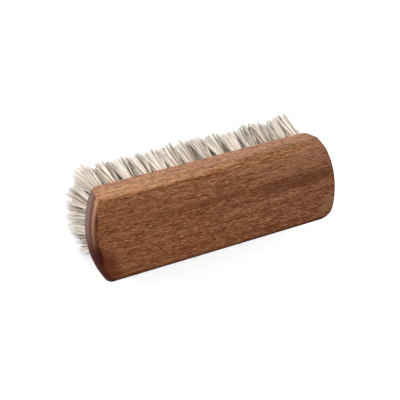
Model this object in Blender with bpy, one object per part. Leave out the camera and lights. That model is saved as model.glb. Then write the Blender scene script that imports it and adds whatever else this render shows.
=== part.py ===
"""Shoe polishing brush: a solid wooden block with staggered tufts of horsehair in blind holes.

Units are metres. X runs along the block, Y across it and +Z is up, out of the flat wooden back.
The brush stands on its hair, so Z = 0 is the plane of the tips and the block is above it.
"""
import math
import random

import bmesh
import bpy
from mathutils import Matrix, Vector

# Wooden block
BLOCK_LENGTH = 0.160
BLOCK_WIDTH = 0.058
BLOCK_THICKNESS = 0.0135
END_ARC_RADIUS = 0.055        # plan radius of the bowed ends
FOOT_CORNER_RADIUS = 0.0035   # plan radius of the corners at the underside
BACK_CORNER_RADIUS = 0.0065   # plan radius of the corners at the flat back
WALL_HEIGHT = 0.0073          # lower side wall, from the underside to where the slope begins
WALL_LEAN = 0.0023            # how far the lower wall leans in along the long sides
SLOPE_INSET = 0.0030          # how far the upper slope leans in along the long sides
END_SLOPE_INSET = 0.0012      # how far the upper slope leans in at the ends
BACK_EDGE_ROUNDING = 0.0012
FOOT_EDGE_ROUNDING = 0.0004

# Tufts of hair
BRISTLE_LENGTH = 0.024        # free hair, from the underside to the tips
TUFT_PITCH = 0.010            # along one lengthwise row
ROW_SPACING = 0.0077          # between lengthwise rows
TUFT_SIDE_MARGIN = 0.0055     # least distance from a tuft's centre to the block's long side
TUFT_END_MARGIN = 0.0070      # least distance from a tuft's centre to the bowed end
HOLE_RADIUS = 0.0021
HOLE_DEPTH = 0.0090           # from the underside
SIDE_SPLAY = math.radians(22)   # outward lean of the outermost lengthwise rows
END_SPLAY = math.radians(18)    # outward lean of the endmost tufts
SIDE_SPLAY_POWER = 1.5          # how quickly the lean grows from the middle to the long sides
END_SPLAY_POWER = 4             # how quickly the lean grows from the middle to the ends

# Strands of one tuft
STRAND_RING_RADIUS = 0.00105  # where the strands leave the hole, from the tuft's centre
STRAND_ROOT_RADIUS = 0.00062
STRAND_TIP_RADIUS = 0.00125
FAN_SPREAD = 0.0019           # how much further from the tuft's centre a strand is at its tip
FAN_UNEVENNESS = 0.30         # share of the spread by which strands differ
TIP_TRIM = 0.0005             # cut off the tips, so that the brush stands flat

# The slices of backing that the rows are fused to, and their seat in the block
RIM_WIDTH = 0.0030            # wood left between the seat and the block's edge
SEAT_DEPTH = 0.0020
CLEARANCE = 0.0003            # gap between touching pieces

# Facets
END_ARC_STEPS = 12
CORNER_STEPS = 4
ROOT_SIDES = 6
STRAND_SIDES = 3
EDGE_ROUNDING_STEPS = 3
SHARP_ANGLE = math.radians(35)  # edges that turn by more than this are shaded sharp

HALF_LENGTH = BLOCK_LENGTH / 2
HALF_WIDTH = BLOCK_WIDTH / 2
UNDERSIDE_Z = BRISTLE_LENGTH
BACK_Z = UNDERSIDE_Z + BLOCK_THICKNESS
CROSS_PITCH = TUFT_PITCH / 2
SLICE_THICKNESS = SEAT_DEPTH - CLEARANCE
ROOT_TOP_Z = UNDERSIDE_Z + HOLE_DEPTH - CLEARANCE
ROOT_RADIUS = HOLE_RADIUS - CLEARANCE


def clear_scene():
    """Remove the objects of the startup scene."""
    for obj in list(bpy.data.objects):
        bpy.data.objects.remove(obj, do_unlink=True)


def principled(name, colour, roughness, metallic=0.0):
    """A plain Principled material."""
    material = bpy.data.materials.new(name)
    material.use_nodes = True
    shader = material.node_tree.nodes["Principled BSDF"]
    shader.inputs["Base Color"].default_value = (*colour, 1.0)
    shader.inputs["Roughness"].default_value = roughness
    shader.inputs["Metallic"].default_value = metallic
    return material


def add_object(name, bm, material=None):
    """Put a bmesh into a new object of the scene."""
    mesh = bpy.data.meshes.new(name)
    bm.to_mesh(mesh)
    bm.free()
    if material is not None:
        mesh.materials.append(material)
    obj = bpy.data.objects.new(name, mesh)
    bpy.context.scene.collection.objects.link(obj)
    return obj


def combine(target, other, operation):
    """Apply one exact Boolean to target and remove the other object."""
    modifier = target.modifiers.new(operation.lower(), "BOOLEAN")
    modifier.operation = operation
    modifier.solver = "EXACT"
    modifier.object = other
    graph = bpy.context.evaluated_depsgraph_get()
    result = bpy.data.meshes.new_from_object(target.evaluated_get(graph))
    old_mesh = target.data
    target.modifiers.clear()
    target.data = result
    result.name = old_mesh.name
    bpy.data.meshes.remove(old_mesh)
    bpy.data.objects.remove(other, do_unlink=True)


def plan_outline(half_length, half_width, end_radius, corner_radius):
    """Plan outline, anticlockwise: straight sides, round corners and ends bowed to end_radius."""
    arc_x = half_length - end_radius
    corner_y = half_width - corner_radius
    corner_x = arc_x + math.sqrt((end_radius - corner_radius) ** 2 - corner_y ** 2)
    meet = math.atan2(corner_y, corner_x - arc_x)
    right = []
    for step in range(CORNER_STEPS):
        angle = -math.pi / 2 + (math.pi / 2 - meet) * step / CORNER_STEPS
        right.append((corner_x + corner_radius * math.cos(angle),
                      -corner_y + corner_radius * math.sin(angle)))
    for step in range(END_ARC_STEPS):
        angle = meet * (2 * step / END_ARC_STEPS - 1)
        right.append((arc_x + end_radius * math.cos(angle), end_radius * math.sin(angle)))
    for step in range(CORNER_STEPS + 1):
        angle = meet + (math.pi / 2 - meet) * step / CORNER_STEPS
        right.append((corner_x + corner_radius * math.cos(angle),
                      corner_y + corner_radius * math.sin(angle)))
    return right + [(-x, -y) for x, y in right]


def inset_outline(inset):
    """The underside's outline, drawn in evenly by the inset."""
    corner_radius = max(FOOT_CORNER_RADIUS - inset, FOOT_EDGE_ROUNDING)
    return plan_outline(HALF_LENGTH - inset, HALF_WIDTH - inset, END_ARC_RADIUS - inset, corner_radius)


def add_face(bm, outline, z):
    """One flat face over an outline."""
    return bm.faces.new([bm.verts.new((x, y, z)) for x, y in outline])


def raise_face(bm, face, z):
    """Extrude a flat face to the level z and close the body."""
    top = bmesh.ops.extrude_face_region(bm, geom=[face])["geom"]
    for vert in top:
        if isinstance(vert, bmesh.types.BMVert):
            vert.co.z = z
    bmesh.ops.recalc_face_normals(bm, faces=bm.faces[:])


def end_limit(y):
    """X of the bowed end at a distance y from the middle."""
    return HALF_LENGTH - END_ARC_RADIUS + math.sqrt(END_ARC_RADIUS ** 2 - y ** 2)


def cross_rows():
    """Tuft centres of every cross row, left to right, as (x, [y, ...]) with alternate rows staggered."""
    side_steps = int((HALF_WIDTH - TUFT_SIDE_MARGIN) / ROW_SPACING)
    end_steps = int((HALF_LENGTH - TUFT_END_MARGIN) / CROSS_PITCH)
    rows = []
    for step in range(-end_steps, end_steps + 1):
        x = step * CROSS_PITCH
        places = [side * ROW_SPACING for side in range(-side_steps, side_steps + 1)
                  if (side + step) % 2 == 0]
        places = [y for y in places if abs(x) <= end_limit(y) - TUFT_END_MARGIN]
        if places:
            rows.append((x, places))
    return rows


def strand_lean(place, reach, splay, power):
    """Outward slope of a tuft at a signed distance from the middle, out of the reach of its row."""
    return math.copysign(math.tan(splay * (abs(place) / reach) ** power), place)


def add_prism(bm, sides, radii, levels, centre, slope=(0.0, 0.0), turn=0.0):
    """A prism from levels[0] up to levels[1], whose top is over centre and whose lower end slopes away."""
    low, high = levels
    lean = Matrix(((1, 0, -slope[0], 0), (0, 1, -slope[1], 0), (0, 0, 1, 0), (0, 0, 0, 1)))
    place = (Matrix.Translation(Vector((*centre, high))) @ lean
             @ Matrix.Translation(Vector((0, 0, (low - high) / 2))) @ Matrix.Rotation(turn, 4, "Z"))
    bmesh.ops.create_cone(bm, cap_ends=True, cap_tris=False, segments=sides, radius1=radii[0],
                          radius2=radii[1], depth=high - low, matrix=place)


def add_tuft(bm, x, y, reach):
    """One tuft: its folded root, and a fan of strands that end at the tips' plane."""
    root_low_z = UNDERSIDE_Z + SLICE_THICKNESS * 2 / 3
    strand_top_z = UNDERSIDE_Z + SLICE_THICKNESS / 3
    add_prism(bm, ROOT_SIDES, (ROOT_RADIUS, ROOT_RADIUS), (root_low_z, ROOT_TOP_Z), (x, y))
    lean_x = strand_lean(x, reach[0], END_SPLAY, END_SPLAY_POWER)
    lean_y = strand_lean(y, reach[1], SIDE_SPLAY, SIDE_SPLAY_POWER)
    mirror_x = math.copysign(1, x)
    mirror_y = math.copysign(1, y)
    uneven = random.Random(f"tuft {round(abs(x) / CROSS_PITCH)} {round(abs(y) / ROW_SPACING)}")
    ring = STRAND_RING_RADIUS / math.sqrt(2)
    for side_x, side_y in ((-1, -1), (1, -1), (1, 1), (-1, 1)):
        out_x = side_x * mirror_x
        out_y = side_y * mirror_y
        fan_x = FAN_SPREAD * (1 + FAN_UNEVENNESS * uneven.uniform(-1, 1)) / BRISTLE_LENGTH
        fan_y = FAN_SPREAD * (1 + FAN_UNEVENNESS * uneven.uniform(-1, 1)) / BRISTLE_LENGTH
        add_prism(bm, STRAND_SIDES, (STRAND_TIP_RADIUS, STRAND_ROOT_RADIUS),
                  (-TIP_TRIM, strand_top_z), (x + ring * out_x, y + ring * out_y),
                  slope=(lean_x + fan_x * out_x, lean_y + fan_y * out_y),
                  turn=math.atan2(out_y, out_x))


def trim_tips(bm):
    """Cut the strands off flat at Z = 0 and close the cuts."""
    whole = bm.verts[:] + bm.edges[:] + bm.faces[:]
    cut = bmesh.ops.bisect_plane(bm, geom=whole, plane_co=(0, 0, 0), plane_no=(0, 0, 1), clear_inner=True)
    rims = [edge for edge in cut["geom_cut"] if isinstance(edge, bmesh.types.BMEdge)]
    bmesh.ops.edgeloop_fill(bm, edges=rims)
    bmesh.ops.recalc_face_normals(bm, faces=bm.faces[:])


def make_slice(name, low_x, high_x, material):
    """A slice of the backing across the block, between two X values, shaped to the seat's outline."""
    bm = bmesh.new()
    add_face(bm, inset_outline(RIM_WIDTH + CLEARANCE), UNDERSIDE_Z)
    for x, side in ((low_x, "clear_inner"), (high_x, "clear_outer")):
        whole = bm.verts[:] + bm.edges[:] + bm.faces[:]
        bmesh.ops.bisect_plane(bm, geom=whole, plane_co=(x, 0, 0), plane_no=(1, 0, 0), **{side: True})
    raise_face(bm, bm.faces[:][0], UNDERSIDE_Z + SLICE_THICKNESS)
    return add_object(name, bm, material)


def make_tuft_rows(material):
    """One node for each cross row: its slice of backing with the row's tufts fused to it."""
    rows = cross_rows()
    reach = (max(x for x, _ in rows), max(y for _, places in rows for y in places))
    beyond = BLOCK_LENGTH
    for number, (x, places) in enumerate(rows):
        low_x = -beyond if number == 0 else x - (CROSS_PITCH - CLEARANCE) / 2
        high_x = beyond if number == len(rows) - 1 else x + (CROSS_PITCH - CLEARANCE) / 2
        row = make_slice(f"tuft_row_{number + 1:02d}", low_x, high_x, material)
        bm = bmesh.new()
        for y in places:
            add_tuft(bm, x, y, reach)
        trim_tips(bm)
        combine(row, add_object("tufts", bm), "UNION")


def block_shell():
    """The block's outer shape: three outlines, one above the other, with rounded edges."""
    middle_corner = (FOOT_CORNER_RADIUS + BACK_CORNER_RADIUS) / 2
    foot = plan_outline(HALF_LENGTH, HALF_WIDTH, END_ARC_RADIUS, FOOT_CORNER_RADIUS)
    middle = plan_outline(HALF_LENGTH, HALF_WIDTH - WALL_LEAN, END_ARC_RADIUS, middle_corner)
    back = plan_outline(HALF_LENGTH - END_SLOPE_INSET, HALF_WIDTH - WALL_LEAN - SLOPE_INSET,
                        END_ARC_RADIUS - END_SLOPE_INSET, BACK_CORNER_RADIUS)
    bm = bmesh.new()
    foot_face = add_face(bm, foot, UNDERSIDE_Z)
    back_face = add_face(bm, back, BACK_Z)
    middle_verts = [bm.verts.new((x, y, UNDERSIDE_Z + WALL_HEIGHT)) for x, y in middle]
    middle_edges = [bm.edges.new((vert, middle_verts[(index + 1) % len(middle_verts)]))
                    for index, vert in enumerate(middle_verts)]
    bmesh.ops.bridge_loops(bm, edges=foot_face.edges[:] + middle_edges)
    bmesh.ops.bridge_loops(bm, edges=middle_edges + back_face.edges[:])
    bmesh.ops.recalc_face_normals(bm, faces=bm.faces[:])
    bmesh.ops.bevel(bm, geom=back_face.edges[:], offset=BACK_EDGE_ROUNDING,
                    segments=EDGE_ROUNDING_STEPS, profile=0.5, affect="EDGES")
    low = [edge for edge in bm.edges if all(abs(v.co.z - UNDERSIDE_Z) < CLEARANCE / 10 for v in edge.verts)]
    bmesh.ops.bevel(bm, geom=low, offset=FOOT_EDGE_ROUNDING, segments=1, affect="EDGES")
    return bm


def seat_cutter():
    """The shallow seat that the slices lie in."""
    bm = bmesh.new()
    face = add_face(bm, inset_outline(RIM_WIDTH), UNDERSIDE_Z - SEAT_DEPTH)
    raise_face(bm, face, UNDERSIDE_Z + SEAT_DEPTH)
    return add_object("seat_cutter", bm)


def hole_cutters():
    """One prism for each blind tuft hole."""
    bm = bmesh.new()
    for x, places in cross_rows():
        for y in places:
            add_prism(bm, ROOT_SIDES, (HOLE_RADIUS, HOLE_RADIUS),
                      (UNDERSIDE_Z + SEAT_DEPTH / 2, UNDERSIDE_Z + HOLE_DEPTH), (x, y))
    return add_object("hole_cutters", bm)


def make_block(material):
    """The wooden block with its seat and blind holes."""
    block = add_object("wood_block", block_shell(), material)
    combine(block, seat_cutter(), "DIFFERENCE")
    combine(block, hole_cutters(), "DIFFERENCE")
    block.data.shade_smooth()
    block.data.set_sharp_from_angle(angle=SHARP_ANGLE)


def build():
    """Build the brush."""
    clear_scene()
    wood = principled("stained_wood", (0.235, 0.092, 0.038), 0.38)
    hair = principled("horsehair", (0.640, 0.560, 0.460), 0.75)
    make_block(wood)
    make_tuft_rows(hair)


build()
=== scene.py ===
"""Looks of a shoe polishing brush: a stained and varnished wooden block with tufts of pale horsehair.

Units are metres. X runs along the block, Y across it and +Z is up, out of the flat wooden back.
The brush stands on its hair: Z = 0 is the plane of the tips.
"""
import logging
import math
from dataclasses import dataclass, field
from enum import Enum
from typing import Mapping, Sequence

import bmesh
import bpy
import numpy as np
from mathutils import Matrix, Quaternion, Vector


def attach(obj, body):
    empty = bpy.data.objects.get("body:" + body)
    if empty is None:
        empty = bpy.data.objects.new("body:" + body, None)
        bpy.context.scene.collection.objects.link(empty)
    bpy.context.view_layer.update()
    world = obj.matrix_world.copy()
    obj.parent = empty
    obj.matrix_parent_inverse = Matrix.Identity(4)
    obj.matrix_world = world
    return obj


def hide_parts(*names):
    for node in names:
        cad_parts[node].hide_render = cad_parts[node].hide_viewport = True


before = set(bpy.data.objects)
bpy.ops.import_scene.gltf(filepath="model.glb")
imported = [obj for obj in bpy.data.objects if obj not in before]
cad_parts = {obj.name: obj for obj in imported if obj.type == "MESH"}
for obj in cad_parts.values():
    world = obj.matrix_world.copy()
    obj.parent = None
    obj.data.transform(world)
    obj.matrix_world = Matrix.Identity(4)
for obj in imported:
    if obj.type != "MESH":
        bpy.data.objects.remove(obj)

LOG = logging.getLogger("brush")
BODY = "root"
WHITE = (1.0, 1.0, 1.0)
HAIR_MAP = "hair"
HAIR_COLUMNS = 64
HAIR_SIDES = 3      # so that one triangle closes an end

Triple = tuple[float, float, float]
Colour = Triple
Corners = tuple[float, float, float, float]
Span = tuple[float, float]
Table = tuple[Sequence[float], Sequence[float]]     # rising places, and the value at each of them
Socket = bpy.types.NodeSocket


def put_on_body(obj: bpy.types.Object, nodes: Sequence[str]) -> bpy.types.Object:
    """Make a finished piece part of the brush.

    Args:
        obj: The piece, with its place in its mesh.
        nodes: The solids that the piece stands for.

    Returns:
        The same object.
    """
    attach(obj, BODY)
    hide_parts(*nodes)
    return obj


def mesh_object(name: str, points: np.ndarray, quads: np.ndarray,
                triangles: np.ndarray) -> bpy.types.Object:
    """Put arrays of points and faces into a new object.

    Args:
        name: Name of the object and of its mesh.
        points: Places, one row of x, y, z for each vertex.
        quads: Vertex numbers, four to a row.
        triangles: Vertex numbers, three to a row.

    Returns:
        The new object, smooth shaded, at the origin.
    """
    corners = np.concatenate([quads.ravel(), triangles.ravel()]).astype(np.int32)
    sizes = np.concatenate([np.full(len(quads), 4), np.full(len(triangles), 3)])
    starts = np.concatenate([[0], np.cumsum(sizes)[:-1]]).astype(np.int32)
    mesh = bpy.data.meshes.new(name)
    mesh.vertices.add(len(points))
    mesh.vertices.foreach_set("co", points.astype(np.float32).ravel())
    mesh.loops.add(len(corners))
    mesh.loops.foreach_set("vertex_index", corners)
    mesh.polygons.add(len(sizes))
    mesh.polygons.foreach_set("loop_start", starts)
    mesh.update(calc_edges=True)
    mesh.shade_smooth()
    obj = bpy.data.objects.new(name, mesh)
    bpy.context.scene.collection.objects.link(obj)
    return obj


def bridge(rings: int, around: int) -> np.ndarray:
    """Quads between closed rings of points.

    The points are numbered ring by ring. The face after point k of ring j joins k and k + 1 of the
    rings j and j + 1, and the last point of a ring joins the first.

    Args:
        rings: How many rings there are.
        around: How many points each ring has.

    Returns:
        Vertex numbers, four to a row.
    """
    ring = np.arange(rings - 1)[:, None] * around
    here = np.arange(around)[None, :]
    after = (here + 1) % around
    corners = [ring + here, ring + after, ring + after + around, ring + here + around]
    return np.stack(corners, -1).reshape(-1, 4)


def repeated(faces: np.ndarray, count: int, size: int, first: int = 0) -> np.ndarray:
    """The faces of one form, again for each of a row of like forms.

    The points of the forms follow each other, so each form's vertex numbers are the ones of the form
    before it plus the number of points in a form.

    Args:
        faces: Vertex numbers in one form.
        count: How many forms there are.
        size: How many points a form has.
        first: Number of the first form's first point.

    Returns:
        Vertex numbers of all the forms.
    """
    starts = first + np.arange(count)[:, None, None] * size
    return (starts + faces[None]).reshape(-1, faces.shape[1])


def on_circle(angle: np.ndarray, radius: np.ndarray | float = 1.0) -> np.ndarray:
    """Points in the plane: the radius times the cosine and the sine of the angle."""
    return np.stack([radius * np.cos(angle), radius * np.sin(angle)], -1)


def aimed(data: bpy.types.Light | bpy.types.Camera, place: Sequence[float],
          aim: Sequence[float] = (0, 0, 0), roll: float = 0.0) -> bpy.types.Object:
    """Stand a lamp or a camera in its place and turn it towards a point.

    Args:
        data: The lamp or the camera.
        place: Where it stands.
        aim: The point that it looks at.
        roll: How far it is turned about its line of sight.

    Returns:
        The new object, named like the data.
    """
    obj = bpy.data.objects.new(data.name, data)
    obj.location = place
    obj.rotation_mode = "QUATERNION"
    sight = Vector(aim) - Vector(place)
    obj.rotation_quaternion = sight.to_track_quat("-Z", "Y") @ Quaternion((0, 0, 1), roll)
    bpy.context.scene.collection.objects.link(obj)
    return obj


class NodeTree:
    """A node tree that is filled by short calls, most of which give back an output socket."""

    def __init__(self, tree: bpy.types.NodeTree) -> None:
        """Take a tree and empty it."""
        self.tree = tree
        tree.nodes.clear()

    def feed(self, socket: Socket, value: object) -> None:
        """Link an output to a socket, or set the socket's own value.

        Args:
            socket: The input to feed.
            value: An output socket, or a number or tuple.
        """
        if isinstance(value, bpy.types.NodeSocket):
            self.tree.links.new(value, socket)
        else:
            socket.default_value = (*value, 1.0) if socket.type == "RGBA" and len(value) == 3 else value

    def node(self, kind: str, inputs: Mapping[object, object] | None = None,
             **settings: object) -> bpy.types.Node:
        """Add a node.

        Args:
            kind: The node's type name.
            inputs: What its inputs are fed with, by name or number.
            **settings: Properties to set on it.

        Returns:
            The new node.
        """
        new = self.tree.nodes.new(kind)
        for key, value in settings.items():
            setattr(new, key, value)
        for key, value in (inputs or {}).items():
            self.feed(new.inputs[key], value)
        return new

    def maths(self, operation: str, *values: object) -> Socket:
        """The result of one Math node on these values or outputs."""
        return self.node("ShaderNodeMath", dict(enumerate(values)), operation=operation).outputs[0]

    def total(self, start: float, *terms: tuple[float, object]) -> Socket:
        """A start value plus weighted values.

        Args:
            start: What the sum starts from.
            *terms: Pairs of a weight and an output.

        Returns:
            The sum.
        """
        result: object = start
        for weight, value in terms:
            result = self.maths("MULTIPLY_ADD", value, weight, result)
        return result

    def stretch(self, vector: Socket, scale: Sequence[float], place: Sequence[float] = (0, 0, 0)) -> Socket:
        """Coordinates times a factor along each axis, then shifted."""
        inputs = {"Vector": vector, "Scale": scale, "Location": place}
        return self.node("ShaderNodeMapping", inputs).outputs[0]

    def noise(self, vector: Socket, detail: float = 2.0, rough: float = 0.5) -> Socket:
        """A noise of scale 1, from 0 to 1, with octaves of finer noise and the share of each."""
        inputs = {"Vector": vector, "Scale": 1.0, "Detail": detail, "Roughness": rough}
        return self.node("ShaderNodeTexNoise", inputs).outputs["Fac"]

    def ranged(self, value: object, low: object, high: object, to_low: float = 0.0,
               to_high: float = 1.0) -> Socket:
        """Map the range from low to high smoothly onto the one from to_low to to_high, clamped."""
        inputs = dict(enumerate((value, low, high, to_low, to_high)))
        return self.node("ShaderNodeMapRange", inputs, interpolation_type="SMOOTHSTEP").outputs[0]

    def blend(self, share: object, first: object, second: object, mode: str = "MIX") -> Socket:
        """The first colour, mixed or multiplied with a share of the second."""
        inputs = {"Factor": share, 6: first, 7: second}
        return self.node("ShaderNodeMix", inputs, data_type="RGBA", blend_type=mode).outputs[2]

    def parts(self, vector: object) -> Sequence[Socket]:
        """The X, Y and Z of a vector."""
        return self.node("ShaderNodeSeparateXYZ", {0: vector}).outputs

    def ramp(self, value: object, stops: Sequence[tuple[float, Colour]], kind: str = "LINEAR") -> Socket:
        """A colour ramp.

        Args:
            value: Place on the ramp.
            stops: Places and colours.
            kind: Interpolation.

        Returns:
            The colour.
        """
        new = self.node("ShaderNodeValToRGB", {0: value})
        new.color_ramp.interpolation = kind
        elements = new.color_ramp.elements
        for _ in range(len(stops) - len(elements)):
            elements.new(1.0)
        for element, (place, colour) in zip(elements, stops):
            element.position = place
            element.color = (*colour, 1.0)
        return new.outputs[0]


def fibre_group() -> bpy.types.NodeTree:
    """Long fibres: noise that is drawn out along X, sharpened between two limits.

    Returns:
        The group's tree.
    """
    tree = bpy.data.node_groups.new("long_fibres", "ShaderNodeTree")
    tree.interface.new_socket("Vector", in_out="INPUT", socket_type="NodeSocketVector")
    for label in ("Along", "Across", "Low", "High"):
        tree.interface.new_socket(label, in_out="INPUT", socket_type="NodeSocketFloat")
    tree.interface.new_socket("Mask", in_out="OUTPUT", socket_type="NodeSocketFloat")
    nodes = NodeTree(tree)
    given = nodes.node("NodeGroupInput").outputs
    scale = nodes.node("ShaderNodeCombineXYZ", {0: given["Along"], 1: given["Across"], 2: given["Across"]})
    drawn_out = nodes.node("ShaderNodeVectorMath", {0: given["Vector"], 1: scale.outputs[0]},
                           operation="MULTIPLY")
    value = nodes.noise(drawn_out.outputs[0], detail=2.5, rough=0.6)
    nodes.node("NodeGroupOutput", {"Mask": nodes.ranged(value, given["Low"], given["High"])})
    return tree


def material_tree(name: str) -> tuple[bpy.types.Material, NodeTree]:
    """Start a material.

    Args:
        name: The material's name.

    Returns:
        The material and its tree, empty.
    """
    material = bpy.data.materials.new(name)
    material.use_nodes = True
    return material, NodeTree(material.node_tree)


class Fibres(Enum):
    """Fibres in the wood: scale along and across X, limits that sharpen it, and weight in the tone."""

    STREAKS = (22.0, 760.0, 0.30, 0.70, 0.28)
    DASHES = (430.0, 1700.0, 0.30, 0.70, 0.50)
    THREADS = (120.0, 2100.0, 0.30, 0.70, 0.42)
    FINE = (260.0, 5200.0, 0.28, 0.72, 0.34)
    PORES = (260.0, 3000.0, 0.54, 0.62, 0.0)


@dataclass(frozen=True)
class Blotch:
    """A patch of another colour (stain, painted highlight, painted shade): an ellipsoid along the axes with
    a frayed rim.
    """

    centre: Triple
    half_size: Triple
    colour: Colour
    strength: float
    fray: float = 1.3
    rim: Span = (1.15, 0.45)        # where it begins and where it is full, as a share of its half size

    def share(self, nodes: NodeTree, place: Socket, frayed: Socket) -> Socket:
        """How much of it shows: its ellipsoid's distance, where 1 is the surface, plus the fray.

        Args:
            nodes: The material's tree.
            place: Coordinates in metres.
            frayed: Fine noise from 0 to 1.

        Returns:
            A mask from 0 to the blotch's strength.
        """
        scale = tuple(1 / size for size in self.half_size)
        shift = tuple(-at / size for at, size in zip(self.centre, self.half_size))
        inside = nodes.stretch(place, scale, shift)
        distance = nodes.node("ShaderNodeVectorMath", {0: inside}, operation="LENGTH").outputs["Value"]
        reach = nodes.total(-0.5 * self.fray, (1.0, distance), (self.fray, frayed))
        return nodes.ranged(reach, *self.rim, 0.0, self.strength)


@dataclass(frozen=True)
class StainedWood:
    """Reddish-brown stained hardwood under a thin satin varnish.

    The figure is a solid texture: tone bands, fibres and pores all run along X. The attribute tones
    holds the shares of the pale slope and wall, which are painted light on the +Y side, and of the
    dark stain with painted shade, and varnish how thick the varnish is. A span says where a change
    begins and where it is complete.
    """

    deep: Colour = (0.093, 0.0165, 0.0012)
    middle: Colour = (0.198, 0.0740, 0.0280)
    light: Colour = (0.350, 0.1620, 0.0810)
    tone_places: Triple = (0.08, 0.50, 0.95)    # tones that get these three
    tone_start: float = -0.768              # what the fibres and the bands are added to
    pore: Colour = (0.065, 0.0110, 0.0010)
    pore_share: float = 0.92
    plus_x_tint: Colour = (0.985, 1.06, 1.12)     # tint of the less red +X half
    plus_x_span: Span = (-0.02, 0.05)        # along X
    # Painted shade: the +Y slope is tinted darker and less red towards +X.
    slope_shade_tint: Colour = (0.80, 0.93, 0.88)  # tint of the +Y slope towards +X
    slope_shade_span: Span = (-0.01, 0.05)
    # Painted light: the lit +Y slope and wall are painted paler in this colour, with grain marks of the
    # middle colour, fading out towards +X.
    painted_lit_wood: Colour = (0.348, 0.200, 0.102)
    lit_mottle: Span = (0.25, 0.75)         # of the mean of streaks and dashes
    lit_mottle_depth: float = 0.90                 # share of the middle colour in its darkest marks
    slope_share: float = 0.74
    slope_span: Span = (-0.030, 0.045)      # along X, where the slope's share fades out
    wall_share: float = 0.26
    # Dark stain of the end grain, also used for painted shade.
    stain_and_shade: Colour = (0.040, 0.008, 0.005)
    dark_share: float = 0.85
    bands: tuple[tuple[float, float], ...] = (
        (0.00, 0.36), (0.20, 0.42), (0.33, 0.47), (0.45, 0.51), (0.56, 0.44), (0.64, 0.51),
        (0.76, 0.57), (0.82, 0.69), (0.88, 0.46), (1.00, 0.40))     # place across the board and its tone
    blotches: tuple[Blotch, ...] = (
        Blotch((0.056, 0.0150, 0.0375), (0.044, 0.0062, 0.012), (0.265, 0.122, 0.060), 0.55),
        Blotch((0.053, 0.0045, 0.0375), (0.038, 0.0051, 0.012), (0.104, 0.029, 0.009), 0.70),
        Blotch((-0.014, 0.0066, 0.0375), (0.038, 0.0028, 0.010), (0.125, 0.036, 0.010), 0.45),
        Blotch((0.0745, -0.0170, 0.0375), (0.0120, 0.0070, 0.0080), (0.245, 0.112, 0.056), 0.60),
        Blotch((0.0680, 0.0200, 0.0370), (0.0180, 0.0052, 0.0080), (0.275, 0.138, 0.078), 0.45),
        Blotch((-0.0560, 0.0130, 0.0375), (0.0300, 0.0062, 0.0080), (0.190, 0.063, 0.018), 0.42),
        # A painted highlight on the slope near the -X +Y corner of the back.
        Blotch((-0.0765, 0.0240, 0.0355), (0.0034, 0.0030, 0.0040), (0.520, 0.290, 0.160), 0.70, 0.6),
        # Painted shade at the -X -Y corner: a dark maroon patch and a near-black one on the end.
        Blotch((-0.0770, -0.0165, 0.0360), (0.0110, 0.0150, 0.0120), (0.094, 0.020, 0.007), 0.85, 0.5),
        Blotch((-0.0786, -0.0080, 0.0372), (0.0033, 0.0075, 0.0070), (0.016, 0.001, 0.001), 1.0, 0.2))
    fray_scale: Triple = (60, 520, 400)
    half_board: float = 0.030
    back_height: float = 0.0375
    lean: float = 0.35              # how far the bands lean over with height
    band_shift: float = -0.0065
    waver: float = 0.013            # how far they waver
    waver_scale: Triple = (11, 70, 50)
    waver_place: Triple = (2.3, 0.0, 0.7)
    roughness: float = 0.50
    matt: float = 0.95              # roughness where there is no varnish
    sealed: float = 0.25            # varnish from which the surface is smooth
    grain_roughness: float = 0.10
    specular: float = 0.10
    coat_roughness: float = 0.22
    bump: float = 0.30
    pore_depth: float = 0.00010
    fibre_relief: float = 0.35      # height of the fibres, as a share of the pores' depth

    def band_tone(self, nodes: NodeTree, place: Socket) -> Socket:
        """Tone bands of a board with upright rings.

        The place across the board is Y plus a share of the height over the back plus a slow waver
        along X. It is mapped to 0 to 1 over the board's width and looked up in the list of tones.

        Args:
            nodes: The material's tree.
            place: Coordinates in metres.

        Returns:
            The tone.
        """
        _, across, height = nodes.parts(place)
        waver = nodes.noise(nodes.stretch(place, self.waver_scale, self.waver_place), detail=3, rough=0.6)
        start = self.band_shift - self.back_height * self.lean
        across = nodes.total(start, (1.0, across), (self.lean, height), (self.waver, waver))
        spot = nodes.maths("DIVIDE", nodes.maths("ADD", across, self.half_board), 2 * self.half_board)
        return nodes.ramp(spot, [(at, (tone,) * 3) for at, tone in self.bands], "B_SPLINE")

    def material(self) -> bpy.types.Material:
        """Build the material.

        Returns:
            The material.
        """
        material, nodes = material_tree("stained_wood")
        place = nodes.node("ShaderNodeTexCoord").outputs["Object"]
        group = fibre_group()
        masks = {}
        for layer in Fibres:
            inputs = dict(zip(("Along", "Across", "Low", "High"), layer.value), Vector=place)
            masks[layer] = nodes.node("ShaderNodeGroup", inputs, node_tree=group).outputs[0]
        streaks, dashes, threads, fine, pores = masks.values()
        tone = nodes.total(self.tone_start, (1.0, self.band_tone(nodes, place)),
                           *((layer.value[-1], mask) for layer, mask in masks.items()))
        colour = nodes.ramp(tone, list(zip(self.tone_places, (self.deep, self.middle, self.light))))
        along = nodes.parts(place)[0]
        colour = nodes.blend(nodes.ranged(along, *self.plus_x_span), colour, self.plus_x_tint, "MULTIPLY")
        tones = nodes.node("ShaderNodeAttribute", attribute_name="tones").outputs["Vector"]
        slope, wall, dark = nodes.parts(tones)
        # Painted shade on the +Y slope towards +X.
        corner = nodes.maths("MULTIPLY", nodes.ranged(along, *self.slope_shade_span), slope)
        colour = nodes.blend(corner, colour, self.slope_shade_tint, "MULTIPLY")
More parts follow.
